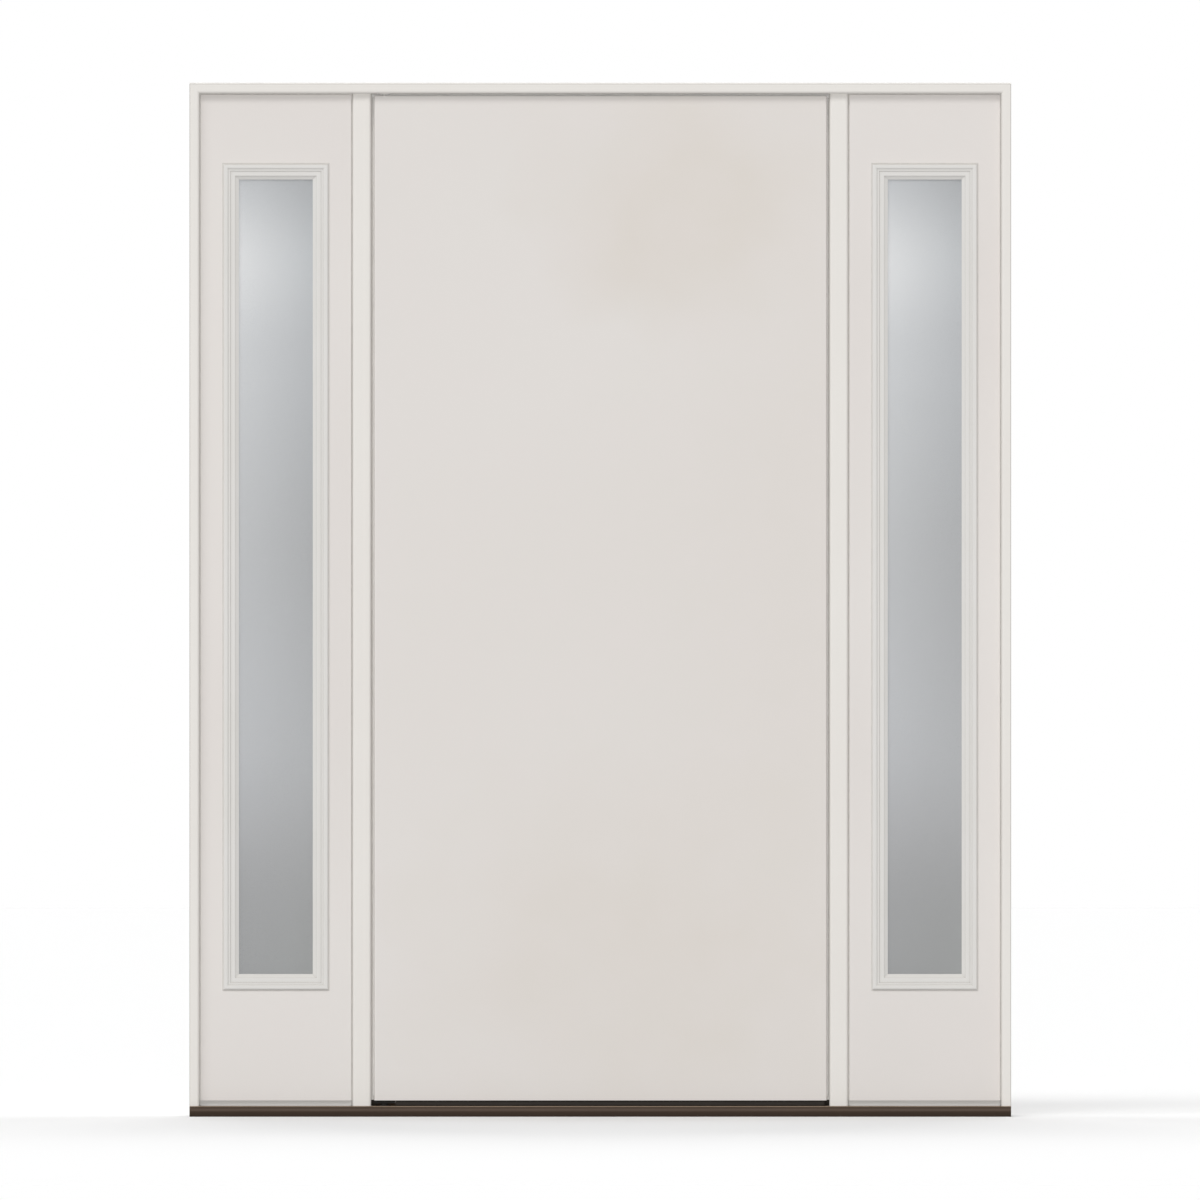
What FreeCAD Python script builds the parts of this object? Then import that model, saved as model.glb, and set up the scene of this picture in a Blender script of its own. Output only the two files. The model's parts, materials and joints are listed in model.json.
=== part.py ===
# Entry door unit: a flush leaf that opens outward, between two fixed glazed sidelights, in one frame.
# Millimetres. +X is to the right seen from outside, +Y is into the house, +Z is up.
# The origin is on the sill's underside, at the middle of its length and of its depth.

import FreeCAD
import Part
import math
import os

# Door leaf
leaf_width = 908.0
leaf_height = 2015.0
leaf_thickness = 44.5
skin_thickness = 2.0
stile_width = 38.0
top_rail_height = 38.0
bottom_rail_height = 70.0
leaf_edge_radius = 3.0
heel_radius = 16.0  # inner corner of the hinge edge, rounded so that it turns clear of its stop
lock_bevel = 2.0  # how much the lock edge slopes back over the leaf's thickness

# Clearances round the leaf and round the fixed panels
hinge_gap = 6.0
lock_gap = 5.0
top_gap = 5.0
bottom_gap = 11.0
stop_clearance = 8.0  # leaf's inner face to the stop behind it
panel_gap = 2.5
strip_joint = 0.3  # hairline joint between neighbouring strips

# Frame
frame_face = 20.0
frame_depth = 116.0
mullion_face = 38.0
mullion_setback = 15.0
leaf_setback = 18.0  # frame's outer face to the faces of the leaf and panels
inner_edge_radius = 6.0
outer_edge_radius = 1.5
stop_projection = 13.0

# Sill
sill_height = 21.0
sill_projection = 24.0
nose_radius = 12.0
deck_thickness = 2.5
bumper_height = 18.0
bumper_land = 16.0  # flat top of the bumper, before it slopes down indoors
bumper_back_height = 7.0
bumper_edge_radius = 2.5

# Seals round the leaf
seal_thickness = 2.5
seal_width = 9.0
seal_inset = 2.0
sweep_clearance = 5.0  # free space left between the sweep and the sill
sweep_inset = 3.0

# Concealed pivots
pivot_from_edge = 20.0
bush_cover = 1.0  # stile left between a bush and the leaf's outer skin
pin_radius = 4.0
pin_running_clearance = 0.05
bush_radius = 6.0
bush_length = 30.0
pin_end_clearance = 5.0
top_flange_radius = 12.0
bottom_flange_radius = 14.0
flange_thickness = 2.0
shoulder_radius = 7.5
shoulder_clearance = 0.3
shoe_length = 42.0
shoe_inset = 2.0

# Sidelights
sidelight_opening = 306.5
sidelight_stile = 45.3  # panel's edge to the moulded surround
sidelight_top_rail = 138.7
sidelight_bottom_rail = 222.0
pane_thickness = 4.0
spacer_thickness = 23.4
spacer_height = 11.0
spacer_inset = 2.0
glass_clearance = 3.0  # round the glass, inside the panel's cut-out
base_strip_setback = 8.0

# Moulded surround of the glass, measured inward from its outer edge and out from the panel's face
surround_overlap = 17.0  # past the edge of the glass, onto the panel
surround_rise = 4.9
bead_flat = 8.0
bead_width = 10.6
bead_foot = 3.3
bead_outer_radius = 3.5
bead_inner_radius = 3.0
fillet_width = 3.3
fillet_rise = 3.0
fillet_slope = 1.2
band_rise = 1.6
band_inner_rise = 1.5
lip_width = 7.6
lip_rise = 0.6
lip_drop = 3.5  # from the lip's outer edge to its inner edge
surround_bite = 14.4  # over the edge of the glass
leg_thickness = 13.0

# Places worked out from the sizes above
door_opening = hinge_gap + leaf_width + lock_gap
half_opening = door_opening / 2
half_width = half_opening + mullion_face + sidelight_opening + frame_face
leaf_bottom = sill_height + bottom_gap
leaf_top = leaf_bottom + leaf_height
head_underside = leaf_top + top_gap
total_height = head_underside + frame_face
front_y = (sill_projection - frame_depth) / 2
leaf_x0 = -half_opening + hinge_gap
leaf_x1 = leaf_x0 + leaf_width
leaf_back = leaf_setback + leaf_thickness
door_stop_front = leaf_back + stop_clearance
pivot_x = leaf_x0 + pivot_from_edge
pivot_depth = leaf_setback + skin_thickness + bush_cover + bush_radius
shoe_bottom = sill_height + sweep_clearance
panel_width = sidelight_opening - 2 * panel_gap
panel_top = head_underside - panel_gap
sidelight_x = half_opening + mullion_face + sidelight_opening / 2
surround_width = surround_overlap + surround_bite
surround_bottom = leaf_bottom + sidelight_bottom_rail
surround_top = panel_top - sidelight_top_rail
glass_bottom = surround_bottom + surround_overlap
glass_top = surround_top - surround_overlap
glass_width = panel_width - 2 * (sidelight_stile + surround_overlap)
glass_unit_thickness = spacer_thickness + 2 * pane_thickness
pane_depth = leaf_setback + (leaf_thickness - glass_unit_thickness) / 2
leg_reach = (leaf_thickness - glass_unit_thickness) / 2


def at(x, depth, z):
    """A point given by how far it lies behind the frame's outer face."""
    return FreeCAD.Vector(x, front_y + depth, z)


def block(x0, x1, depth0, depth1, z0, z1):
    """A plain rectangular piece between those limits."""
    return Part.makeBox(x1 - x0, depth1 - depth0, z1 - z0, at(x0, depth0, z0))


def post(x, depth, radius, z0, z1):
    """An upright cylinder."""
    return Part.makeCylinder(radius, z1 - z0, at(x, depth, z0))


def rounded_face(corners, place):
    """A flat face through (a, b, radius) corners, each rounded by its radius; place turns (a, b) into a point."""
    count = len(corners)
    turns = []
    for i, (a, b, radius) in enumerate(corners):
        corner = FreeCAD.Vector(a, b, 0)
        back = (FreeCAD.Vector(*corners[i - 1][:2], 0) - corner).normalize()
        on = (FreeCAD.Vector(*corners[(i + 1) % count][:2], 0) - corner).normalize()
        if radius == 0:
            turns.append((corner, None, corner))
            continue
        half_angle = back.getAngle(on) / 2
        reach = radius / math.tan(half_angle)
        middle = corner + (back + on).normalize() * (radius / math.sin(half_angle) - radius)
        turns.append((corner + back * reach, middle, corner + on * reach))
    edges = []
    for i, (start, middle, end) in enumerate(turns):
        points = [place(p.x, p.y) for p in (start, middle or start, end)]
        if middle:
            edges.append(Part.Arc(*points).toShape())
        next_start = turns[(i + 1) % count][0]
        if (next_start - end).Length > Part.Precision.confusion():
            edges.append(Part.makeLine(points[2], place(next_start.x, next_start.y)))
    return Part.Face(Part.Wire(edges))


def wedge(corners):
    """A prism right through the unit from front to back, over an outline of (x, z) corners."""
    far = 2 * frame_depth
    outline = [at(x, -far, z) for x, z in corners]
    return Part.Face(Part.makePolygon(outline + outline[:1])).extrude(FreeCAD.Vector(0, 3 * far, 0))


def head_mitre():
    """The space that the head takes, mitred at 45 degrees to the jambs."""
    reach = 2 * frame_face
    low = total_height - reach
    left, right = -half_width, half_width
    return wedge([(left, total_height), (right, total_height), (right - reach, low), (left + reach, low)])


def frame_section():
    """Section of the head and jambs: inward from the outer edge, and back from the outer face."""
    return [
        (0, 0, outer_edge_radius),
        (frame_face, 0, inner_edge_radius),
        (frame_face, frame_depth, 0),
        (0, frame_depth, 0),
    ]


def jamb(side):
    """A side jamb, from the sill up to the mitre at the head."""
    outer_x = side * half_width
    section = rounded_face(frame_section(), lambda u, d: at(outer_x - side * u, d, sill_height))
    return section.extrude(FreeCAD.Vector(0, 0, total_height - sill_height)).cut(head_mitre())


def head():
    """The head jamb, across the whole unit between its two mitres."""
    section = rounded_face(frame_section(), lambda u, d: at(-half_width, d, total_height - u))
    return section.extrude(FreeCAD.Vector(2 * half_width, 0, 0)).common(head_mitre())


def mullion(side):
    """The post between the leaf and a sidelight, set back a little behind the frame's outer face."""
    x0 = side * half_opening
    x1 = side * (half_opening + mullion_face)
    section = [
        (x0, mullion_setback, inner_edge_radius),
        (x1, mullion_setback, inner_edge_radius),
        (x1, frame_depth, 0),
        (x0, frame_depth, 0),
    ]
    face = rounded_face(section, lambda x, d: at(x, d, sill_height))
    return face.extrude(FreeCAD.Vector(0, 0, head_underside - sill_height))


def sill_section(inset):
    """The sill's section, shrunk by inset on its top and front."""
    front = inset - sill_projection
    top = sill_height - inset
    corners = [(front, 0, 0), (front, top, nose_radius - inset), (frame_depth, top, 0), (frame_depth, 0, 0)]
    return rounded_face(corners, lambda d, z: at(-half_width, d, z)).extrude(FreeCAD.Vector(2 * half_width, 0, 0))


def sill_substrate():
    """The composite core of the sill, flat underneath."""
    return sill_section(deck_thickness)


def sill_deck():
    """The metal skin over the sill's top and rounded nose."""
    return sill_section(0).cut(sill_substrate())


def threshold_bumper():
    """The raised bar indoors of the leaf, which its foot closes against."""
    top = sill_height + bumper_height
    corners = [
        (door_stop_front, sill_height, 0),
        (door_stop_front, top, bumper_edge_radius),
        (door_stop_front + bumper_land, top, bumper_edge_radius),
        (frame_depth, sill_height + bumper_back_height, bumper_edge_radius),
        (frame_depth, sill_height, 0),
    ]
    reach = half_opening - stop_projection - strip_joint
    face = rounded_face(corners, lambda d, z: at(-reach, d, z))
    return face.extrude(FreeCAD.Vector(2 * reach, 0, 0))


def stop_strips(x0, x1, front, with_foot):
    """The strips behind a leaf or panel: one up each side, one under the head, and one on the sill if asked."""
    inner0 = x0 + stop_projection
    inner1 = x1 - stop_projection
    low = head_underside - stop_projection
    strips = [
        block(x0, inner0, front, frame_depth, sill_height, head_underside),
        block(inner1, x1, front, frame_depth, sill_height, head_underside),
        block(inner0 + strip_joint, inner1 - strip_joint, front, frame_depth, low, head_underside),
    ]
    if with_foot:
        foot_top = sill_height + bottom_gap + stop_projection
        foot = block(inner0 + strip_joint, inner1 - strip_joint, front, frame_depth, sill_height, foot_top)
        strips.append(foot)
    return Part.makeCompound(strips)


def door_weatherstrip():
    """Seals on the front of the stops round the leaf, and on the threshold bumper."""
    front = door_stop_front - seal_thickness
    edge0 = half_opening - seal_inset
    edge1 = edge0 - seal_width
    top = head_underside - seal_inset
    foot_top = sill_height + bumper_height - bumper_edge_radius
    side_bottom = sill_height + bumper_height + seal_inset
    side_top = top - seal_width - strip_joint
    strips = [
        block(-edge0, -edge1, front, door_stop_front, side_bottom, side_top),
        block(edge1, edge0, front, door_stop_front, side_bottom, side_top),
        block(-edge0, edge0, front, door_stop_front, top - seal_width, top),
    ]
    foot_reach = half_opening - stop_projection - seal_inset
    strips.append(block(-foot_reach, foot_reach, front, door_stop_front, foot_top - seal_width, foot_top))
    return Part.makeCompound(strips)


def leaf_envelope():
    """The whole leaf as one slab, with its bevelled lock edge and rounded heel."""
    corners = [
        (leaf_x0, leaf_setback, leaf_edge_radius),
        (leaf_x1, leaf_setback, leaf_edge_radius),
        (leaf_x1 - lock_bevel, leaf_back, leaf_edge_radius),
        (leaf_x0, leaf_back, heel_radius),
    ]
    face = rounded_face(corners, lambda x, d: at(x, d, leaf_bottom))
    return face.extrude(FreeCAD.Vector(0, 0, leaf_height))


def leaf_pieces():
    """The skins, stiles, rails and core that make up the leaf, each cut from the one slab."""
    slab = leaf_envelope()
    core_front = leaf_setback + skin_thickness
    core_back = leaf_back - skin_thickness
    inner_x0 = leaf_x0 + stile_width
    inner_x1 = leaf_x1 - stile_width
    core_bottom = leaf_bottom + bottom_rail_height
    core_top = leaf_top - top_rail_height

    def inner(x0, x1, z0, z1):
        return slab.common(block(x0, x1, core_front, core_back, z0, z1))

    bush_seats = post(pivot_x, pivot_depth, bush_radius, leaf_bottom, leaf_bottom + bush_length).fuse(
        post(pivot_x, pivot_depth, bush_radius, leaf_top - bush_length, leaf_top)
    )
    return {
        "door_outer_skin": slab.common(block(leaf_x0, leaf_x1, leaf_setback, core_front, leaf_bottom, leaf_top)),
        "door_inner_skin": slab.common(block(leaf_x0, leaf_x1, core_back, leaf_back, leaf_bottom, leaf_top)),
        "door_hinge_stile": inner(leaf_x0, inner_x0, leaf_bottom, leaf_top).cut(bush_seats),
        "door_lock_stile": inner(inner_x1, leaf_x1, leaf_bottom, leaf_top),
        "door_top_rail": inner(inner_x0, inner_x1, core_top, leaf_top),
        "door_bottom_rail": inner(inner_x0, inner_x1, leaf_bottom, core_bottom),
        "door_core": inner(inner_x0, inner_x1, core_bottom, core_top),
    }


def door_sweep():
    """The dark strip under the leaf, from the pivot shoe to the lock edge."""
    x0 = leaf_x0 + shoe_length + strip_joint
    x1 = leaf_x1 - lock_bevel - sweep_inset
    return block(x0, x1, leaf_setback + sweep_inset, leaf_back - sweep_inset, shoe_bottom, leaf_bottom)


def pivot_bore(z0, z1):
    """The running hole for a pivot pin."""
    return post(pivot_x, pivot_depth, pin_radius + pin_running_clearance, z0, z1)


def top_pivot_bush():
    """The bush let into the top of the hinge stile."""
    low = leaf_top - bush_length
    return post(pivot_x, pivot_depth, bush_radius, low, leaf_top).cut(pivot_bore(low, leaf_top))


def bottom_pivot_shoe():
    """The shoe under the hinge corner of the leaf, with the bush that carries its weight."""
    plate = block(
        leaf_x0 + shoe_inset,
        leaf_x0 + shoe_length,
        leaf_setback + skin_thickness,
        leaf_back - heel_radius,
        shoe_bottom,
        leaf_bottom,
    )
    top = leaf_bottom + bush_length
    bush = post(pivot_x, pivot_depth, bush_radius, leaf_bottom, top)
    return plate.fuse(bush).cut(pivot_bore(shoe_bottom, top))


def top_pivot_pin():
    """The pin under the head, on its round flange."""
    flange = post(pivot_x, pivot_depth, top_flange_radius, head_underside - flange_thickness, head_underside)
    pin = post(pivot_x, pivot_depth, pin_radius, leaf_top - bush_length + pin_end_clearance, head_underside)
    return flange.fuse(pin)


def bottom_pivot_pin():
    """The pin on the sill, with the shoulder that the leaf's shoe turns on."""
    flange = post(pivot_x, pivot_depth, bottom_flange_radius, sill_height, sill_height + flange_thickness)
    shoulder = post(pivot_x, pivot_depth, shoulder_radius, sill_height, shoe_bottom - shoulder_clearance)
    pin = post(pivot_x, pivot_depth, pin_radius, sill_height, leaf_bottom + bush_length - pin_end_clearance)
    return flange.fuse([shoulder, pin])


def surround_section():
    """Section of the moulded surround: inward from its outer edge, and out from the panel's face."""
    fillet_edge = bead_width + fillet_width
    lip_edge = surround_width - lip_width
    leg = surround_width - leg_thickness
    return [
        (0, 0, 0),
        (0, surround_rise, bead_outer_radius),
        (bead_flat, surround_rise, bead_inner_radius),
        (bead_width, bead_foot, 0),
        (bead_width, fillet_rise, 0),
        (fillet_edge, fillet_rise, 0),
        (fillet_edge + fillet_slope, band_rise, 0),
        (lip_edge, band_inner_rise, 0),
        (lip_edge, lip_rise, 0),
        (surround_width, lip_rise - lip_drop, 0),
        (surround_width, -leg_reach, 0),
        (leg, -leg_reach, 0),
        (leg, 0, 0),
    ]


def glass_surround(centre_x, face_depth, outward):
    """A moulded ring that clamps the glass on one face of its panel; outward is -1 outdoors and 1 indoors."""
    section = surround_section()
    x0 = centre_x - glass_width / 2 - surround_overlap
    x1 = centre_x + glass_width / 2 + surround_overlap
    z0 = surround_bottom
    z1 = surround_top
    across = FreeCAD.Vector(x1 - x0, 0, 0)
    up = FreeCAD.Vector(0, 0, z1 - z0)

    def depth(rise):
        return face_depth + outward * rise

    bottom = rounded_face(section, lambda u, rise: at(x0, depth(rise), z0 + u)).extrude(across)
    top = rounded_face(section, lambda u, rise: at(x0, depth(rise), z1 - u)).extrude(across)
    left = rounded_face(section, lambda u, rise: at(x0 + u, depth(rise), z0)).extrude(up)
    right = rounded_face(section, lambda u, rise: at(x1 - u, depth(rise), z0)).extrude(up)
    half = (x1 - x0) / 2
    low_mitre = wedge([(x0, z0), (x1, z0), (x1 - half, z0 + half)])
    high_mitre = wedge([(x0, z1), (x1, z1), (x1 - half, z1 - half)])
    ends = low_mitre.fuse(high_mitre)
    members = [bottom.common(low_mitre), top.common(high_mitre), left.cut(ends), right.cut(ends)]
    return members[0].fuse(members[1:]).removeSplitter()


def sidelight(side, name):
    """One fixed sidelight: its panel, moulded surrounds, sealed glass and the strip that it stands on."""
    centre = side * sidelight_x
    x0 = centre - panel_width / 2
    x1 = centre + panel_width / 2
    glass_x0 = centre - glass_width / 2
    glass_x1 = centre + glass_width / 2
    back_pane = pane_depth + pane_thickness + spacer_thickness
    core_front = leaf_setback + skin_thickness
    core_back = leaf_back - skin_thickness
    cut_out = block(
        glass_x0 - glass_clearance,
        glass_x1 + glass_clearance,
        leaf_setback - surround_rise,
        leaf_back + surround_rise,
        glass_bottom - glass_clearance,
        glass_top + glass_clearance,
    )

    def layer(front, back):
        return block(x0, x1, front, back, leaf_bottom, panel_top).cut(cut_out)

    def pane(front):
        return block(glass_x0, glass_x1, front, front + pane_thickness, glass_bottom, glass_top)

    def spacer_block(inset):
        front = pane_depth + pane_thickness
        return block(glass_x0 + inset, glass_x1 - inset, front, back_pane, glass_bottom + inset, glass_top - inset)

    base_front = leaf_setback + base_strip_setback
    return {
        f"{name}_sidelight_outer_skin": layer(leaf_setback, core_front),
        f"{name}_sidelight_core": layer(core_front, core_back),
        f"{name}_sidelight_inner_skin": layer(core_back, leaf_back),
        f"{name}_outer_surround": glass_surround(centre, leaf_setback, -1),
        f"{name}_inner_surround": glass_surround(centre, leaf_back, 1),
        f"{name}_outer_pane": pane(pane_depth),
        f"{name}_inner_pane": pane(back_pane),
        f"{name}_glass_spacer": spacer_block(spacer_inset).cut(spacer_block(spacer_inset + spacer_height)),
        f"{name}_sidelight_base_strip": block(x0, x1, base_front, leaf_back, sill_height, leaf_bottom),
    }


def all_pieces():
    """Every piece of the unit by name."""
    bay0 = half_opening + mullion_face
    bay1 = bay0 + sidelight_opening
    pieces = {
        "left_jamb": jamb(-1),
        "right_jamb": jamb(1),
        "head_jamb": head(),
        "left_mullion": mullion(-1),
        "right_mullion": mullion(1),
        "sill_deck": sill_deck(),
        "sill_substrate": sill_substrate(),
        "threshold_bumper": threshold_bumper(),
        "door_stops": stop_strips(-half_opening, half_opening, door_stop_front, False),
        "left_sidelight_stops": stop_strips(-bay1, -bay0, leaf_back, True),
        "right_sidelight_stops": stop_strips(bay0, bay1, leaf_back, True),
        "door_weatherstrip": door_weatherstrip(),
        "top_pivot_pin": top_pivot_pin(),
        "bottom_pivot_pin": bottom_pivot_pin(),
        "door_top_pivot_bush": top_pivot_bush(),
        "door_bottom_pivot_shoe": bottom_pivot_shoe(),
        "door_sweep": door_sweep(),
    }
    pieces.update(leaf_pieces())
    pieces.update(sidelight(-1, "left"))
    pieces.update(sidelight(1, "right"))
    return pieces


os.makedirs("parts", exist_ok=True)
for piece_name, shape in all_pieces().items():
    shape.exportStep(f"parts/{piece_name}.step")
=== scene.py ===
"""Looks of the entry door unit with its two sidelights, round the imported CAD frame, in metres."""

import json
import math

import bmesh
import bpy
from mathutils import Matrix, Vector


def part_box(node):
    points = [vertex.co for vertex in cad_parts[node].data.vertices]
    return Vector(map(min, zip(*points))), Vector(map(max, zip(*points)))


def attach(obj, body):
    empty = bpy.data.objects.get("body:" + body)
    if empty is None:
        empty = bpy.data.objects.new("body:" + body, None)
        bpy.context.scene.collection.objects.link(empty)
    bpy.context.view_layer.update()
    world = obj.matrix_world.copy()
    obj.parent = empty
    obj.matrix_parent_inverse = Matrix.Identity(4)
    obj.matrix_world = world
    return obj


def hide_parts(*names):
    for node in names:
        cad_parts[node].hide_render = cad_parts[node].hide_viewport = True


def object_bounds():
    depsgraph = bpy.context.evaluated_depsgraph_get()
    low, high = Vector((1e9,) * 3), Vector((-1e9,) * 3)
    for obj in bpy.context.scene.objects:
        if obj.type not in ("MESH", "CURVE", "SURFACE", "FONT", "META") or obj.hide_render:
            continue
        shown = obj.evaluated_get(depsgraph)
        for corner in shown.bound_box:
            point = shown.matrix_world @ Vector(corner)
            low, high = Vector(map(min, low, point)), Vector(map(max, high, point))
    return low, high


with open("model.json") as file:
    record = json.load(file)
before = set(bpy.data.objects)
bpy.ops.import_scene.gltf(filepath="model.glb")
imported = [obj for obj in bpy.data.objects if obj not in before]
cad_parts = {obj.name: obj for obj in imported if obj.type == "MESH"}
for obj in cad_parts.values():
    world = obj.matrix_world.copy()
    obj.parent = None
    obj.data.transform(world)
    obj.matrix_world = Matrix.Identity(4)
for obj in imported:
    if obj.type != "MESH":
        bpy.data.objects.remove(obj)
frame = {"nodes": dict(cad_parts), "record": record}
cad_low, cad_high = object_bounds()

SIDES = ("left", "right")
QUARTER_TURN = math.radians(90)

# The photograph's frame, in its own pixels
PHOTO_SIDE = 1200
PHOTO_HEAD_TOP = 83.6
PHOTO_SILL_FOOT = 1116.6
PHOTO_MIDDLE = 600.3
METRES_PER_PIXEL = (cad_high.z - cad_low.z) / (PHOTO_SILL_FOOT - PHOTO_HEAD_TOP)

# Camera
CAMERA_ELEVATION = 1.0
CAMERA_DISTANCE = 8.0
CAMERA_CLIP_END = 4 * CAMERA_DISTANCE

# Lamps: strength, azimuth, elevation, softness, and whether they show in gloss
LAMPS = {
    "key_top": (0.85, -8, 46, 20, True),
    "key_left": (0.58, -42, 34, 32, True),
    "front_fill": (1.2, 0, CAMERA_ELEVATION, 2, False),
    "rear_left": (1.1, -126, 22, 50, False),
    "rear_right": (1.1, 126, 22, 50, False),
    "rear_top": (1.2, 180, 36, 30, False),
}

# World and floor, as they light the unit and as the camera sees them
AMBIENT = 0.3
WHITE = 1.0
FLOOR_REACH = 40.0
FLOOR_TONE = 0.35
FLOOR_SEEN = 0.915

# Easing and shading of new pieces
EASE_SEGMENTS = 2
SHARP_ANGLE = math.radians(35)

# Bulb seals
SEAL_FLANGE = 0.0015
SEAL_RADIUS = 0.0045
SEAL_INSET = 0.0015
SEAL_STEPS = 14

# Sweep under the leaf
SWEEP_BACKING = 0.0022
SWEEP_EASE = 0.0003
SWEEP_FIN = 0.0016
SWEEP_FIN_TIP = 0.0008
SWEEP_FINS = 4
SWEEP_SILL_GAP = 0.0012

# Corner pads
PAD_WIDTH = 0.0133
PAD_DEPTH = 0.005
PAD_RISE = 0.0005
PAD_EASE = 0.0012

# Screw plugs
PLUG_RADIUS = 0.0042
PLUG_HEIGHT = 0.0007
PLUG_SEGMENTS = 24
PLUG_SPACING = 0.30
PLUG_FROM_EDGE = 0.0195
FEWEST_PLUGS = 2  # up one side

# Sealant round the surrounds, and deep in the joints of the fixed panels
SEALANT_WIDTH = 0.002
SEALANT_HEIGHT = 0.0005
JOINT_SETBACK = 0.012
JOINT_BODY = 0.004
JOINT_LIP = 0.0005
JOINT_HOLLOW = 0.0004

# How far the painted shade and painted highlight reach
ARRIS_SHADE_REACH = 0.0016
GROOVE_REACH = 0.006
GROOVE_SAMPLES = 8  # rays that feel for a groove
NOSE_HIGHLIGHT = 0.0015
NOSE_DEPTH = 0.013
SHADED_FOOT = 0.016
FOOT_SHADE_HEIGHT = 0.006

# Patches of thin primer on the leaf: centre, reach and weight
THIN_PRIMER = (
    ((0.17, 0, 1.82), (0.36, 1, 0.3), 1.0),
    ((0.08, 0, 0.33), (0.56, 1, 0.42), 0.75),
)
PATCH_LOBES = 5.0  # in each metre
PATCH_LOBE_DETAIL = 1.0
PATCH_STRAY = 1.0
PATCH_SOFTNESS = 0.8  # share of the reach over which a patch fades
NOISE_MEAN = (0.5, 0.5, 0.5)


def tint(red, green, blue):
    """A colour as it is seen on screen, 0 to 255, in the shader's linear light."""

    def linear(part):
        share = part / 255
        return share / 12.92 if share <= 0.04045 else ((share + 0.055) / 1.055) ** 2.4

    return (linear(red), linear(green), linear(blue), 1.0)


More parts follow.
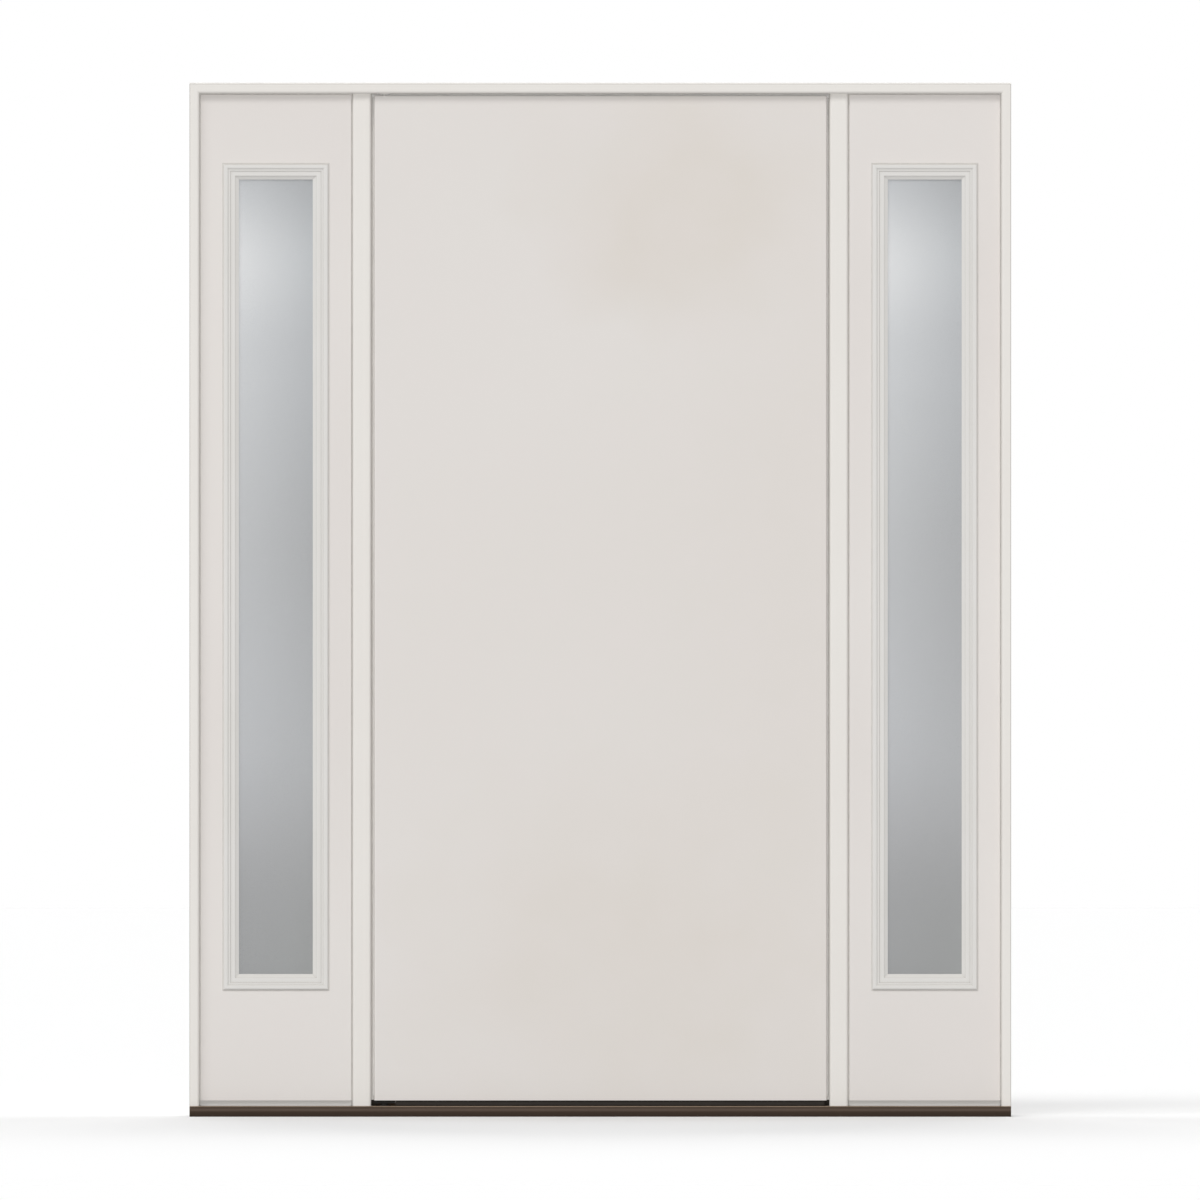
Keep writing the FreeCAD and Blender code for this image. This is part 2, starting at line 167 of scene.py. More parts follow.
class Finish:
    """One material and the few node steps that its finish is made of."""

    def __init__(self, name, roughness, metallic=0.0, specular=0.5):
        self.material = bpy.data.materials.new(name)
        self.material.use_nodes = True
        self.tree = self.material.node_tree
        self.shader = self.tree.nodes["Principled BSDF"]
        self.fix("Roughness", roughness)
        self.fix("Metallic", metallic)
        self.fix("Specular IOR Level", specular)
        self.place = self.tree.nodes.new("ShaderNodeTexCoord").outputs["Object"]

    def fix(self, socket, value):
        """Sets one of the shader's own sockets, the same all over."""
        self.shader.inputs[socket].default_value = value

    def node(self, kind, **settings):
        made = self.tree.nodes.new(kind)
        for key, value in settings.items():
            setattr(made, key, value)
        return made

    def join(self, source, target):
        self.tree.links.new(source, target)

    def placed(self, stretch=(1, 1, 1), shift=(0, 0, 0)):
        """Object coordinates, shifted and then stretched."""
        mapping = self.node("ShaderNodeMapping", vector_type="TEXTURE")
        self.join(self.place, mapping.inputs["Vector"])
        mapping.inputs["Location"].default_value = shift
        mapping.inputs["Scale"].default_value = stretch
        return mapping.outputs["Vector"]

    def along(self, axis):
        """One of the object coordinates, in metres."""
        split = self.node("ShaderNodeSeparateXYZ")
        self.join(self.place, split.inputs["Vector"])
        return split.outputs[axis]

    def worked(self, operation, *amounts):
        """One amount worked out from others."""
        made = self.node("ShaderNodeMath", operation=operation)
        for amount, target in zip(amounts, made.inputs):
            self.join(amount, target)
        return made.outputs["Value"]

    def spread(self, amount, low, high, start=0.3, end=0.7):
        """A number that goes from low to high as an amount goes from start to end."""
        ranged = self.node("ShaderNodeMapRange")
        self.join(amount, ranged.inputs["Value"])
        limits = {"From Min": start, "From Max": end, "To Min": low, "To Max": high}
        for name, value in limits.items():
            ranged.inputs[name].default_value = value
        return ranged.outputs["Result"]

    def nooks(self, reach):
        """How far a spot is closed in by its own piece, from 0 in the open."""
        closed = self.node("ShaderNodeAmbientOcclusion", samples=GROOVE_SAMPLES, only_local=True)
        closed.inputs["Distance"].default_value = reach
        return self.spread(closed.outputs["AO"], 1.0, 0.0, start=0.4, end=1.0)

    def ledges(self):
        """How far a spot faces upwards, from 0 where it is upright."""
        split = self.node("ShaderNodeSeparateXYZ")
        self.join(self.node("ShaderNodeNewGeometry").outputs["Normal"], split.inputs["Vector"])
        return self.spread(split.outputs["Z"], 0.0, 1.0, start=0.05, end=0.6)

    def noise(self, place, per_metre, detail):
        """Soft noise with about that many features in each metre."""
        made = self.node("ShaderNodeTexNoise")
        self.join(place, made.inputs["Vector"])
        made.inputs["Scale"].default_value = per_metre
        made.inputs["Detail"].default_value = detail
        return made

    def cloud(self, per_metre, detail, stretch=(1, 1, 1)):
        """An amount that drifts softly over the surface."""
        return self.noise(self.placed(stretch), per_metre, detail).outputs["Fac"]

    def cells(self, per_metre, stretch=(1, 1, 1)):
        """Distance to the nearest of that many scattered points in each metre."""
        points = self.node("ShaderNodeTexVoronoi")
        self.join(self.placed(stretch), points.inputs["Vector"])
        points.inputs["Scale"].default_value = per_metre
        return points.outputs["Distance"]

    def strayed(self, place, per_metre, stray):
        """Coordinates that stray from their place by soft noise."""
        drift = self.noise(self.place, per_metre, PATCH_LOBE_DETAIL).outputs["Color"]
        centred = self.node("ShaderNodeVectorMath", operation="SUBTRACT")
        self.join(drift, centred.inputs[0])
        centred.inputs[1].default_value = NOISE_MEAN
        moved = self.node("ShaderNodeVectorMath", operation="MULTIPLY_ADD")
        self.join(centred.outputs["Vector"], moved.inputs[0])
        moved.inputs[1].default_value = (stray, stray, stray)
        self.join(place, moved.inputs[2])
        return moved.outputs["Vector"]

    def patch(self, centre, reach, weight):
        """A soft ragged patch, from its full weight in the middle to 0 at its edge."""
        ball = self.node("ShaderNodeTexGradient", gradient_type="SPHERICAL")
        edge = self.strayed(self.placed(reach, centre), PATCH_LOBES, PATCH_STRAY)
        self.join(edge, ball.inputs["Vector"])
        return self.spread(ball.outputs["Fac"], 0.0, weight, start=0.0, end=PATCH_SOFTNESS)

    def graded(self, amount, *stops, rounded=False):
        """A colour from (position, colour) stops, with its peaks rounded if asked."""
        ramp = self.node("ShaderNodeValToRGB")
        ramp.color_ramp.interpolation = "CARDINAL" if rounded else "LINEAR"
        elements = ramp.color_ramp.elements
        while len(elements) < len(stops):
            elements.new(1.0)
        for element, (position, colour) in zip(elements, stops):
            element.position = position
            element.color = colour
        self.join(amount, ramp.inputs["Fac"])
        return ramp.outputs["Color"]

    def blended(self, amount, under, over):
        """One colour over another, by an amount that varies."""
        mix = self.node("ShaderNodeMix", data_type="RGBA")
        factor, below, above = mix.inputs[0], mix.inputs[6], mix.inputs[7]
        for source, target in ((amount, factor), (under, below), (over, above)):
            if isinstance(source, bpy.types.NodeSocket):
                self.join(source, target)
            else:
                target.default_value = source
        return mix.outputs[2]

    def colour(self, source):
        self.join(source, self.shader.inputs["Base Color"])

    def sheen_from(self, source):
        self.join(source, self.shader.inputs["Roughness"])

    def relief(self, height, depth, strength):
        """Fine relief of that depth."""
        bump = self.node("ShaderNodeBump")
        bump.inputs["Strength"].default_value = strength
        bump.inputs["Distance"].default_value = depth
        self.join(height, bump.inputs["Height"])
        self.join(bump.outputs["Normal"], self.shader.inputs["Normal"])


def frame_paint():
    """Satin white paint on the frame, with painted shade along its outer front arris."""
    finish = Finish("frame_paint", roughness=0.5, specular=0.35)
    muted, clean, arris_shade = tint(227, 223, 218), tint(229, 226, 221), tint(190, 187, 181)
    patches = finish.cloud(per_metre=2.5, detail=3)
    paint = finish.graded(patches, (0.3, muted), (0.7, clean))
    # Painted shade: a darker line along the outer front arris, where its rounding turns away from
    # the light.
    half = ARRIS_SHADE_REACH / 2
    across = finish.worked("ABSOLUTE", finish.along("X"))
    side = finish.spread(across, 0.0, 1.0, cad_high.x - ARRIS_SHADE_REACH, cad_high.x - half)
    top = finish.spread(finish.along("Z"), 0.0, 1.0, cad_high.z - ARRIS_SHADE_REACH, cad_high.z - half)
    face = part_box("head_jamb")[0].y
    front = finish.spread(finish.along("Y"), 1.0, 0.0, face + ARRIS_SHADE_REACH, face + 2 * ARRIS_SHADE_REACH)
    shaded_arris = finish.worked("MULTIPLY", finish.worked("MAXIMUM", side, top), front)
    finish.colour(finish.blended(shaded_arris, paint, arris_shade))
    brushed = finish.cloud(per_metre=900, detail=2, stretch=(1, 1, 14))
    finish.sheen_from(finish.spread(brushed, 0.46, 0.56))
    finish.relief(brushed, depth=0.00003, strength=0.5)
    return finish.material


def smooth_skin(name, clear, warm, per_metre, lean, patches=()):
    """Smooth primed skin of the leaf or a panel: two close tints, painted shade that darkens it
    towards its right by the lean, and thin patches of primer.
    """
    finish = Finish(name, roughness=0.55, specular=0.3)
    thin, mottled = tint(217, 211, 204), tint(223, 217, 214)
    # Painted shade: the lean tips the skin towards its darker tint on the right.
    across = finish.spread(finish.along("X"), -lean, lean, cad_low.x / 2, cad_high.x / 2)
    broad = finish.worked("ADD", finish.cloud(per_metre, detail=1), across)
    primer = finish.graded(broad, (0.32, clear), (0.68, warm))
    for centre, reach, weight in patches:
        primer = finish.blended(finish.patch(centre, reach, weight), primer, thin)
    mottling = finish.cloud(per_metre=9, detail=3)
    finish.colour(finish.blended(finish.spread(mottling, 0.0, 0.3), primer, mottled))
    pebble = finish.cloud(per_metre=420, detail=3)
    finish.sheen_from(finish.spread(pebble, 0.5, 0.62))
    finish.relief(pebble, depth=0.00005, strength=0.5)
    return finish.material


def leaf_edge():
    """Painted timber along the leaf's edges, with the grain just showing."""
    finish = Finish("leaf_edge", roughness=0.55, specular=0.3)
    pale, dark = tint(222, 217, 211), tint(212, 206, 198)
    grain = finish.cloud(per_metre=160, detail=4, stretch=(1, 1, 25))
    finish.colour(finish.graded(grain, (0.35, pale), (0.7, dark)))
    finish.relief(grain, depth=0.0001, strength=0.4)
    return finish.material


def surround_plastic():
    """Satin moulded plastic of the glass surrounds, with painted shade in the grooves and on the
    upward ledges.
    """
    finish = Finish("surround_plastic", roughness=0.45, specular=0.4)
    pale, dark = tint(220, 218, 215), tint(218, 216, 212)
    ledge_shade, groove_shade = tint(200, 197, 192), tint(170, 165, 158)
    flow = finish.cloud(per_metre=6, detail=2)
    plastic = finish.graded(flow, (0.3, pale), (0.7, dark))
    # Painted shade on the ledges that face upwards.
    darker_tone = finish.blended(finish.ledges(), plastic, ledge_shade)
    # Painted shade in the grooves, where the piece closes in on itself.
    finish.colour(finish.blended(finish.nooks(GROOVE_REACH), darker_tone, groove_shade))
    pores = finish.cloud(per_metre=1500, detail=2)
    finish.sheen_from(finish.spread(pores, 0.42, 0.5))
    finish.relief(pores, depth=0.00002, strength=0.5)
    return finish.material


def satin_glass(name, low, high):
    """Grey satin glass with a painted reflection of a soft sky: brightest high up on its left, dim
    at its foot.
    """
    finish = Finish(name, roughness=0.3)
    finish.fix("Transmission Weight", 0.3)
    finish.fix("IOR", 1.5)
    height = finish.spread(finish.along("Z"), 0.0, 1.0, low.z, high.z)
    across = finish.spread(finish.along("X"), 0.0, 1.0, low.x, high.x)
    # Painted reflection: the tints of the sky from the glass's foot to its top, on each side.
    left = finish.graded(
        height,
        (0.02, tint(139, 140, 141)),
        (0.15, tint(156, 157, 159)),
        (0.28, tint(185, 187, 190)),
        (0.55, tint(191, 193, 195)),
        (0.72, tint(205, 207, 209)),
        (0.8, tint(213, 215, 217)),
        (0.9, tint(230, 231, 232)),
        (1.0, tint(193, 196, 199)),
        rounded=True,
    )
    right = finish.graded(
        height,
        (0.02, tint(135, 137, 136)),
        (0.15, tint(148, 149, 150)),
        (0.28, tint(168, 170, 172)),
        (0.55, tint(163, 165, 167)),
        (0.72, tint(173, 176, 179)),
        (0.8, tint(178, 181, 184)),
        (0.9, tint(182, 186, 189)),
        (1.0, tint(156, 159, 162)),
        rounded=True,
    )
    painted_sky = finish.blended(across, left, right)
    # Painted reflection: soft paler waves over the sky.
    wave = finish.cloud(per_metre=4, detail=2, stretch=(1, 1, 3))
    painted_waves = finish.blended(finish.spread(wave, 0.0, 0.08), painted_sky, tint(205, 210, 213))
    finish.colour(painted_waves)
    etched = finish.cloud(per_metre=2500, detail=2)
    finish.sheen_from(finish.spread(etched, 0.26, 0.36))
    return finish.material


def sill_bronze():
    """Dark bronze anodised metal, drawn along its length, with a painted highlight along the top of
    its nose and painted shade towards its foot.
    """
    finish = Finish("sill_bronze", roughness=0.5, metallic=0.3, specular=0.3)
    dark, pale, dull = tint(62, 48, 37), tint(69, 54, 42), tint(58, 46, 36)
    shade, rubbed_and_highlight = tint(39, 29, 21), tint(172, 148, 122)
    drawn = finish.cloud(per_metre=900, detail=3, stretch=(120, 1, 1))
    lines = finish.graded(drawn, (0.3, dark), (0.7, pale))
    patches = finish.cloud(per_metre=5, detail=3)
    worn = finish.blended(finish.spread(patches, 0.0, 0.35), lines, dull)
    height = finish.along("Z")
    # Painted shade: darker towards the foot of the nose.
    shaded = finish.blended(finish.spread(height, 0.75, 0.0, 0.0, SHADED_FOOT), worn, shade)
    low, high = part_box("sill_deck")
    # Painted highlight: a pale line along the top of the nose.
    nose_back = low.y + NOSE_DEPTH
    upper = finish.spread(height, 0.0, 0.9, high.z - NOSE_HIGHLIGHT, high.z)
    front = finish.spread(finish.along("Y"), 1.0, 0.0, nose_back, nose_back + NOSE_HIGHLIGHT)
    finish.colour(finish.blended(finish.worked("MULTIPLY", upper, front), shaded, rubbed_and_highlight))
    finish.sheen_from(finish.spread(drawn, 0.42, 0.55))
    finish.relief(drawn, depth=0.00003, strength=0.5)
    return finish.material


def sill_composite():
    """Dark moulded composite with pale wood flecks."""
    finish = Finish("sill_composite", roughness=0.75)
    fleck, brown, dark = tint(92, 80, 68), tint(56, 50, 45), tint(44, 40, 37)
    flecks = finish.cells(per_metre=450, stretch=(3, 1, 1))
    finish.colour(finish.graded(flecks, (0.08, fleck), (0.2, brown), (0.9, dark)))
    finish.relief(finish.cloud(per_metre=700, detail=3), depth=0.0002, strength=0.5)
    return finish.material


def seal_foam():
    """Pale skinned foam of the bulb seals."""
    finish = Finish("seal_foam", roughness=0.7, specular=0.3)
    pale, dark = tint(250, 248, 245), tint(244, 242, 238)
    skin = finish.cloud(per_metre=60, detail=3)
    finish.colour(finish.graded(skin, (0.3, pale), (0.7, dark)))
    finish.relief(finish.cloud(per_metre=1800, detail=2), depth=0.00008, strength=0.6)
    return finish.material


def sealant_skin(name, clean, darker_tone):
    """Cured sealant, tooled along its run."""
    finish = Finish(name, roughness=0.6, specular=0.3)
    tooled = finish.cloud(per_metre=90, detail=3)
    finish.colour(finish.graded(tooled, (0.3, clean), (0.7, darker_tone)))
    finish.relief(finish.cloud(per_metre=700, detail=2), depth=0.00004, strength=0.5)
    return finish.material


def sweep_vinyl():
    """Black extruded vinyl under the leaf."""
    finish = Finish("sweep_vinyl", roughness=0.5, specular=0.35)
    dark, pale = tint(36, 32, 28), tint(47, 42, 37)
    drawn = finish.cloud(per_metre=1100, detail=2, stretch=(90, 1, 1))
    finish.colour(finish.graded(drawn, (0.3, dark), (0.7, pale)))
    finish.sheen_from(finish.spread(drawn, 0.42, 0.6))
    finish.relief(drawn, depth=0.00004, strength=0.5)
    return finish.material


def base_vinyl():
    """Grey strip under the fixed panels, with painted shade where it meets the sill."""
    finish = Finish("base_vinyl", roughness=0.6, specular=0.3)
    dark, pale, foot_shade_tint = tint(220, 218, 214), tint(228, 226, 222), tint(182, 179, 174)
    drawn = finish.cloud(per_metre=500, detail=2, stretch=(60, 1, 1))
    strip = finish.graded(drawn, (0.3, dark), (0.7, pale))
    sill_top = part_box("sill_deck")[1].z
    # Painted shade: darker over its lowest few millimetres.
    foot_shade = finish.spread(finish.along("Z"), 0.45, 0.0, sill_top, sill_top + FOOT_SHADE_HEIGHT)
    finish.colour(finish.blended(foot_shade, strip, foot_shade_tint))
    finish.relief(drawn, depth=0.00003, strength=0.5)
    return finish.material


def pivot_steel(name, plain, worn, metallic):
    """Coated steel of the pivots, rubbed in places."""
    finish = Finish(name, roughness=0.5, metallic=metallic, specular=0.3)
    rubbed_and_highlight = finish.cloud(per_metre=260, detail=4)
    finish.colour(finish.graded(rubbed_and_highlight, (0.5, plain), (0.8, worn)))
    finish.sheen_from(finish.spread(rubbed_and_highlight, 0.55, 0.4))
    finish.relief(finish.cloud(per_metre=1400, detail=2), depth=0.00003, strength=0.5)
    return finish.material


def spacer_metal():
    """Mill-finish spacer between the panes, with fine pitting."""
    finish = Finish("spacer_metal", roughness=0.4, metallic=0.85)
    dark, pale = tint(168, 168, 170), tint(188, 188, 190)
    drawn = finish.cloud(per_metre=600, detail=2, stretch=(1, 1, 40))
    finish.colour(finish.graded(drawn, (0.3, dark), (0.7, pale)))
    finish.relief(finish.cells(per_metre=330), depth=0.0002, strength=0.4)
    return finish.material


def core_foam():
    """Rigid foam inside the leaf and panels."""
    finish = Finish("core_foam", roughness=0.9, specular=0.2)
    dark, pale = tint(214, 196, 140), tint(232, 216, 166)
    cells = finish.cells(per_metre=900)
    finish.colour(finish.graded(cells, (0.1, dark), (0.7, pale)))
    finish.relief(cells, depth=0.0004, strength=0.6)
    return finish.material


def slot_finishes():
    """The finish of each of the record's material slots but the glass."""
    panel_tints = tint(224, 220, 216), tint(220, 215, 211)
    blackened_tints = tint(34, 32, 30), tint(48, 46, 44)
    return {
        "frame_paint": frame_paint(),
        "panel_skin": smooth_skin("panel_skin", *panel_tints, per_metre=1.6, lean=0.0),
        "panel_core": core_foam(),
        "leaf_edge": leaf_edge(),
        "surround_plastic": surround_plastic(),
        "spacer_metal": spacer_metal(),
        "sill_metal": sill_bronze(),
        "sill_composite": sill_composite(),
        "seal": seal_foam(),
        "sweep_rubber": sweep_vinyl(),
        "base_strip": base_vinyl(),
        "pivot_metal": pivot_steel("blackened_steel", *blackened_tints, metallic=0.6),
    }


def node_finishes(edge):
    """The finish of each node that differs from the rest of its slot, and of the glass."""
    leaf_tints = tint(222, 218, 214), tint(219, 214, 209)
    plated_tints = tint(222, 220, 216), tint(214, 212, 208)
    leaf = smooth_skin("leaf_skin", *leaf_tints, per_metre=0.9, lean=0.12, patches=THIN_PRIMER)
    plated = pivot_steel("plated_steel", *plated_tints, metallic=0.2)
    own = {
        "door_outer_skin": leaf,
        "door_inner_skin": leaf,
        "top_pivot_pin": plated,
        "door_top_pivot_bush": plated,
    }
    for side in SIDES:
        glass = satin_glass(f"{side}_satin_glass", *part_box(f"{side}_outer_pane"))
        own[f"{side}_outer_pane"] = glass
        own[f"{side}_inner_pane"] = glass
        own[f"{side}_sidelight_core"] = edge
    return own


def dress_cad_nodes(finishes):
    """Gives every CAD node the finish of its piece."""
    own = node_finishes(finishes["leaf_edge"])
    for entry in frame["record"]["subparts"]:
        node, slot = entry["node"], entry["material_slot"]
        finish = own[node] if node in own else finishes[slot]
        for holder in frame["nodes"][node].material_slots:
            holder.material = finish


def box_bar(bm, low, high, ease):
    """A rectangular bar between two corners, with its edges eased."""
    made = bmesh.ops.create_cube(bm, size=1.0)["verts"]
    bmesh.ops.scale(bm, vec=high - low, verts=made)
    bmesh.ops.translate(bm, vec=(low + high) / 2, verts=made)
    edges = list({edge for vert in made for edge in vert.link_edges})
    bmesh.ops.bevel(
        bm,
        geom=edges,
        offset=ease,
        segments=EASE_SEGMENTS,
        profile=0.5,
        affect="EDGES",
        material=-1,
    )


def extruded(bm, faces, vector):
    """Extrudes faces by a vector, and gives back what that made."""
    made = bmesh.ops.extrude_face_region(bm, geom=faces)["geom"]
    tops = [item for item in made if isinstance(item, bmesh.types.BMVert)]
    bmesh.ops.translate(bm, vec=vector, verts=tops)
    return made


def show(name, bm, finish, body, slot, *replaced):
    """Turns a finished bmesh into a piece of the unit that rides on one body."""
    bmesh.ops.recalc_face_normals(bm, faces=bm.faces[:])
    mesh = bpy.data.meshes.new(name)
    bm.to_mesh(mesh)
    bm.free()
    mesh.materials.append(finish)
    mesh.shade_smooth()
    mesh.set_sharp_from_angle(angle=SHARP_ANGLE)
    piece = bpy.data.objects.new(name, mesh)
    bpy.context.scene.collection.objects.link(piece)
    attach(piece, body)
    if replaced:
        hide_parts(*replaced)


def seal_run(length, upright, start):
    """One straight run of bulb seal, a half-round bulb on a flat flange, upright or level."""
    bm = bmesh.new()
    rim = bm.verts.new((-SEAL_RADIUS, 0, 0))
    bmesh.ops.spin(
        bm, geom=[rim], cent=(0, 0, 0), axis=(0, 0, 1), angle=math.pi, steps=SEAL_STEPS
    )
    for side in (-1, 1):
        bm.verts.new((side * SEAL_RADIUS, SEAL_FLANGE, 0))
    section = bmesh.ops.contextual_create(bm, geom=bm.verts[:])["faces"]
    extruded(bm, section, (0, 0, length))
    turn = Matrix.Identity(4) if upright else Matrix.Rotation(QUARTER_TURN, 4, "Y")
    bmesh.ops.transform(bm, matrix=Matrix.Translation(start) @ turn, verts=bm.verts[:])
    return bm


def bulb_seals(finish):
    """Bulb seals round the doorway, on the stops and on the threshold bumper."""
    stops_low, stops_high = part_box("door_stops")
    bumper_low, bumper_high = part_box("threshold_bumper")
    face = stops_low.y - SEAL_FLANGE
    side = stops_high.x - SEAL_INSET - SEAL_RADIUS
    foot = bumper_high.z + SEAL_INSET
    head = stops_high.z - SEAL_INSET - SEAL_RADIUS
    bumper_start = Vector((bumper_low.x + SEAL_INSET, face, bumper_high.z - 2 * SEAL_RADIUS))
    upright_length = head - SEAL_RADIUS - foot
    head_length = 2 * (side + SEAL_RADIUS)
    bumper_length = bumper_high.x - bumper_low.x - 2 * SEAL_INSET
    runs = (
        (upright_length, True, Vector((-side, face, foot))),
        (upright_length, True, Vector((side, face, foot))),
        (head_length, False, Vector((-side - SEAL_RADIUS, face, head))),
        (bumper_length, False, bumper_start),
    )
    whole = bmesh.new()
    scratch = bpy.data.meshes.new("seal_run")
    for length, upright, start in runs:
        run = seal_run(length, upright, start)
        run.to_mesh(scratch)
        run.free()
        whole.from_mesh(scratch)
    bpy.data.meshes.remove(scratch)
    show("bulb_seals", whole, finish, "frame", "seal", "door_weatherstrip")


def finned_sweep(finish):
    """The sweep under the leaf: a flat backing with fins that hang close to the sill."""
    low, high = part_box("door_sweep")
    sill_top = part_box("sill_deck")[1].z
    bm = bmesh.new()
    box_bar(bm, Vector((low.x, low.y, high.z - SWEEP_BACKING)), high, SWEEP_EASE)
    step = (high.y - low.y - SWEEP_FIN) / (SWEEP_FINS - 1)
    drop = high.z - SWEEP_BACKING - sill_top - SWEEP_SILL_GAP
    for index in range(SWEEP_FINS):
        front = low.y + index * step
        fin = bmesh.ops.create_cube(bm, size=1.0)["verts"]
        tips = [vert for vert in fin if vert.co.z < 0]
        bmesh.ops.scale(bm, vec=(1, SWEEP_FIN_TIP / SWEEP_FIN, 1), verts=tips)
        bmesh.ops.scale(bm, vec=(high.x - low.x, SWEEP_FIN, drop), verts=fin)
        across, height = (low.x + high.x) / 2, high.z - SWEEP_BACKING - drop / 2
        bmesh.ops.translate(bm, vec=(across, front + SWEEP_FIN / 2, height), verts=fin)
    show("finned_sweep", bm, finish, "door_leaf", "sweep_rubber", "door_sweep")


def corner_pads(finish):
    """Dark pads at the foot of the stops, which close the corners beside the sweep."""
    stops_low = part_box("door_stops")[0]
    post_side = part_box("right_mullion")[0].x
    sill_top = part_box("sill_deck")[1].z
    leaf_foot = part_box("door_bottom_rail")[0].z
    bm = bmesh.new()
    for side in (-1, 1):
        across = sorted((side * post_side, side * (post_side - PAD_WIDTH)))
        low = Vector((across[0], stops_low.y - PAD_DEPTH, sill_top))
        high = Vector((across[1], stops_low.y, leaf_foot + PAD_RISE))
        box_bar(bm, low, high, PAD_EASE)
    show("corner_pads", bm, finish, "frame", "seal")


def screw_plugs(side, finish):
    """Round plugs over the screws of a sidelight's inner surround."""
    low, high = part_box(f"{side}_inner_surround")
    surround = frame["nodes"][f"{side}_inner_surround"]
    foot, head = low.z + PLUG_FROM_EDGE, high.z - PLUG_FROM_EDGE
    run = high.z - low.z - 2 * PLUG_FROM_EDGE
    count = max(FEWEST_PLUGS, round(run / PLUG_SPACING))
    heights = [foot + run * (index + 0.5) / count for index in range(count)]
    places = [(x, z) for x in (low.x + PLUG_FROM_EDGE, high.x - PLUG_FROM_EDGE) for z in heights]
    places += [((low.x + high.x) / 2, z) for z in (foot, head)]
    bm = bmesh.new()
    for x, z in places:
        band = surround.ray_cast(Vector((x, 2 * high.y, z)), Vector((0, -1, 0)))[1].y
        plug = bmesh.ops.create_cone(
            bm,
            cap_ends=True,
            segments=PLUG_SEGMENTS,
            radius1=PLUG_RADIUS,
            radius2=PLUG_RADIUS,
            depth=2 * PLUG_HEIGHT,
        )["verts"]
        turn = Matrix.Rotation(QUARTER_TURN, 3, "X")
        bmesh.ops.rotate(bm, verts=plug, cent=(0, 0, 0), matrix=turn)
        bmesh.ops.translate(bm, vec=(x, band, z), verts=plug)
    show(f"{side}_screw_plugs", bm, finish, "frame", "surround_plastic")


def sealant_ring(bm, low, high, face, outward):
    """A thin bead of sealant on a panel's face, round the outside of a surround."""
    ring = bmesh.ops.create_grid(bm, x_segments=1, y_segments=1, size=0.5)["verts"]
    turn = Matrix.Rotation(QUARTER_TURN, 3, "X")
    bmesh.ops.rotate(bm, verts=ring, cent=(0, 0, 0), matrix=turn)
    wide = 2 * SEALANT_WIDTH
    bmesh.ops.scale(bm, vec=(high.x - low.x + wide, 1, high.z - low.z + wide), verts=ring)
    middle = ((low.x + high.x) / 2, face, (low.z + high.z) / 2)
    bmesh.ops.translate(bm, vec=middle, verts=ring)
    inside = ring[0].link_faces[0]
    sides = bmesh.ops.inset_region(
        bm, faces=[inside], thickness=SEALANT_WIDTH, use_boundary=True
    )["faces"]
    bmesh.ops.delete(bm, geom=[inside], context="FACES_ONLY")
    extruded(bm, sides, (0, outward * SEALANT_HEIGHT, 0))


def sealant_lines(side, finish):
    """Sealant round both of a sidelight's surrounds, outdoors and indoors; the grey it is given is
    painted shade along the surrounds' edges.
    """
    bm = bmesh.new()
    outer_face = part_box(f"{side}_sidelight_outer_skin")[0].y
    inner_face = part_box(f"{side}_sidelight_inner_skin")[1].y
    sealant_ring(bm, *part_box(f"{side}_outer_surround"), outer_face, -1)
    sealant_ring(bm, *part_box(f"{side}_inner_surround"), inner_face, 1)
    show(f"{side}_sealant_lines", bm, finish, "frame", "seal")


def joint_sealant(side, finish):
    """Hollow-tooled sealant in the joint round a fixed panel, up its sides and across its top."""
    low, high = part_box(f"{side}_sidelight_outer_skin")
    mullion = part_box(f"{side}_mullion")
    posts = sorted((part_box(f"{side}_jamb"), mullion), key=lambda post: post[0].x)
    columns = (posts[0][1].x, low.x, high.x, posts[1][0].x)
    rows = (low.z, high.z, mullion[1].z)
    spans, tiers = len(columns) - 1, len(rows) - 1
    bm = bmesh.new()
    grid = bmesh.ops.create_grid(bm, x_segments=spans, y_segments=tiers, size=0.5)["verts"]
    back = low.y + JOINT_SETBACK + JOINT_BODY
    for vert in grid:
        column, row = round(spans * (vert.co.x + 0.5)), round(tiers * (vert.co.y + 0.5))
        vert.co = (columns[column], back, rows[row])
    middles = [(face, face.calc_center_median()) for face in bm.faces]
    panel = [face for face, at in middles if low.x < at.x < high.x and at.z < high.z]
    bmesh.ops.delete(bm, geom=panel, context="FACES")
    made = extruded(bm, bm.faces[:], (0, -JOINT_BODY, 0))
    fronts = [item for item in made if isinstance(item, bmesh.types.BMFace)]
    bmesh.ops.recalc_face_normals(bm, faces=bm.faces[:])
    bmesh.ops.inset_region(
        bm, faces=fronts, thickness=JOINT_LIP, depth=-JOINT_HOLLOW, use_even_offset=True
    )
    show(f"{side}_joint_sealant", bm, finish, "frame", "seal")


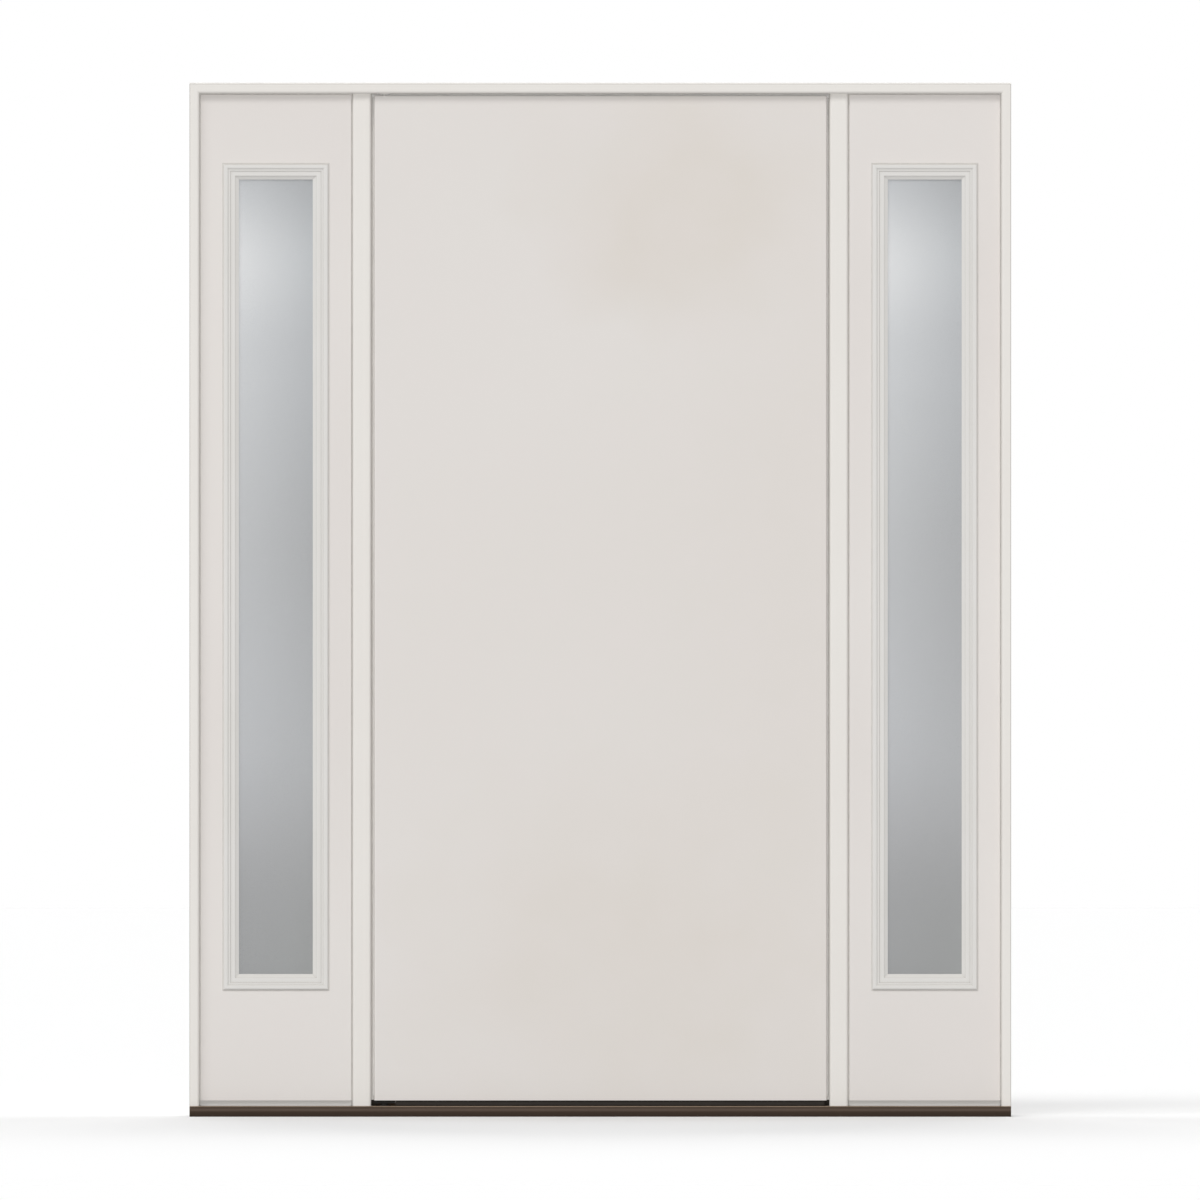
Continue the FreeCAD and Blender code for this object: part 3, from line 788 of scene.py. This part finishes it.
def studio_floor():
    """A pale floor that reads white to the camera and keeps the unit's soft shadow."""
    bm = bmesh.new()
    bmesh.ops.create_grid(bm, x_segments=1, y_segments=1, size=FLOOR_REACH)
    mesh = bpy.data.meshes.new("studio_floor")
    bm.to_mesh(mesh)
    bm.free()
    floor = bpy.data.objects.new("studio_floor", mesh)
    bpy.context.scene.collection.objects.link(floor)
    material = bpy.data.materials.new("studio_floor")
    material.use_nodes = True
    tree = material.node_tree
    tree.nodes.clear()
    output = tree.nodes.new("ShaderNodeOutputMaterial")
    mix = tree.nodes.new("ShaderNodeMixShader")
    path = tree.nodes.new("ShaderNodeLightPath")
    lit = tree.nodes.new("ShaderNodeBsdfDiffuse")
    lit.inputs["Color"].default_value = (FLOOR_TONE, FLOOR_TONE, FLOOR_TONE, 1)
    seen = tree.nodes.new("ShaderNodeBsdfDiffuse")
    seen.inputs["Color"].default_value = (FLOOR_SEEN, FLOOR_SEEN, FLOOR_SEEN, 1)
    tree.links.new(path.outputs["Is Camera Ray"], mix.inputs["Fac"])
    tree.links.new(lit.outputs["BSDF"], mix.inputs[1])
    tree.links.new(seen.outputs["BSDF"], mix.inputs[2])
    tree.links.new(mix.outputs["Shader"], output.inputs["Surface"])
    mesh.materials.append(material)


def studio_world():
    """Even soft light, which shows as plain white to the camera, in gloss and through glass."""
    world = bpy.data.worlds.new("studio")
    bpy.context.scene.world = world
    world.use_nodes = True
    tree = world.node_tree
    tree.nodes.clear()
    output = tree.nodes.new("ShaderNodeOutputWorld")
    mix = tree.nodes.new("ShaderNodeMixShader")
    path = tree.nodes.new("ShaderNodeLightPath")
    soft = tree.nodes.new("ShaderNodeBackground")
    soft.inputs["Strength"].default_value = AMBIENT
    white = tree.nodes.new("ShaderNodeBackground")
    white.inputs["Strength"].default_value = WHITE
    for background in (soft, white):
        background.inputs["Color"].default_value = (1, 1, 1, 1)
    either = path.outputs["Is Camera Ray"]
    for kind in ("Is Glossy Ray", "Is Transmission Ray"):
        larger = tree.nodes.new("ShaderNodeMath")
        larger.operation = "MAXIMUM"
        tree.links.new(either, larger.inputs[0])
        tree.links.new(path.outputs[kind], larger.inputs[1])
        either = larger.outputs[0]
    tree.links.new(either, mix.inputs["Fac"])
    tree.links.new(soft.outputs["Background"], mix.inputs[1])
    tree.links.new(white.outputs["Background"], mix.inputs[2])
    tree.links.new(mix.outputs["Shader"], output.inputs["Surface"])


def lamp(name, strength, azimuth, elevation, softness, glints):
    """A distant lamp; azimuth 0 shines from the camera's side and 90 from the viewer's right."""
    data = bpy.data.lights.new(name, "SUN")
    data.energy = strength
    data.angle = math.radians(softness)
    shown = bpy.data.objects.new(name, data)
    bpy.context.scene.collection.objects.link(shown)
    turn, rise = math.radians(azimuth), math.radians(elevation)
    level = math.cos(rise)
    towards = Vector((math.sin(turn) * level, -math.cos(turn) * level, math.sin(rise)))
    shown.rotation_euler = towards.to_track_quat("Z", "Y").to_euler()
    shown.visible_glossy = glints


def studio_camera():
    """A camera square to the unit, with no perspective, framed as the photograph is."""
    data = bpy.data.cameras.new("camera")
    data.type = "ORTHO"
    data.ortho_scale = PHOTO_SIDE * METRES_PER_PIXEL
    data.clip_end = CAMERA_CLIP_END
    camera = bpy.data.objects.new("camera", data)
    bpy.context.scene.collection.objects.link(camera)
    across = (PHOTO_SIDE / 2 - PHOTO_MIDDLE) * METRES_PER_PIXEL
    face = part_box("head_jamb")[0].y
    height = cad_low.z + (PHOTO_SILL_FOOT - PHOTO_SIDE / 2) * METRES_PER_PIXEL
    tilt = math.radians(CAMERA_ELEVATION)
    back = Vector((0, -math.cos(tilt), math.sin(tilt)))
    camera.location = Vector((across, face, height)) + back * CAMERA_DISTANCE
    camera.rotation_euler = back.to_track_quat("Z", "Y").to_euler()
    bpy.context.scene.camera = camera


finishes = slot_finishes()
dress_cad_nodes(finishes)
bulb_seals(finishes["seal"])
finned_sweep(finishes["sweep_rubber"])
corner_pads(finishes["sweep_rubber"])
# Painted shade: the ring's grey sealant stands for the shade line round each surround.
shade_line_sealant = sealant_skin("sealant_skin", tint(207, 204, 199), tint(199, 196, 191))
deep_sealant = sealant_skin("joint_sealant", tint(234, 231, 226), tint(226, 223, 218))
for sidelight in SIDES:
    screw_plugs(sidelight, finishes["surround_plastic"])
    sealant_lines(sidelight, shade_line_sealant)
    joint_sealant(sidelight, deep_sealant)

studio_floor()
studio_world()
for lamp_name, settings in LAMPS.items():
    lamp(lamp_name, *settings)
studio_camera()
bpy.context.scene.view_settings.view_transform = "Standard"
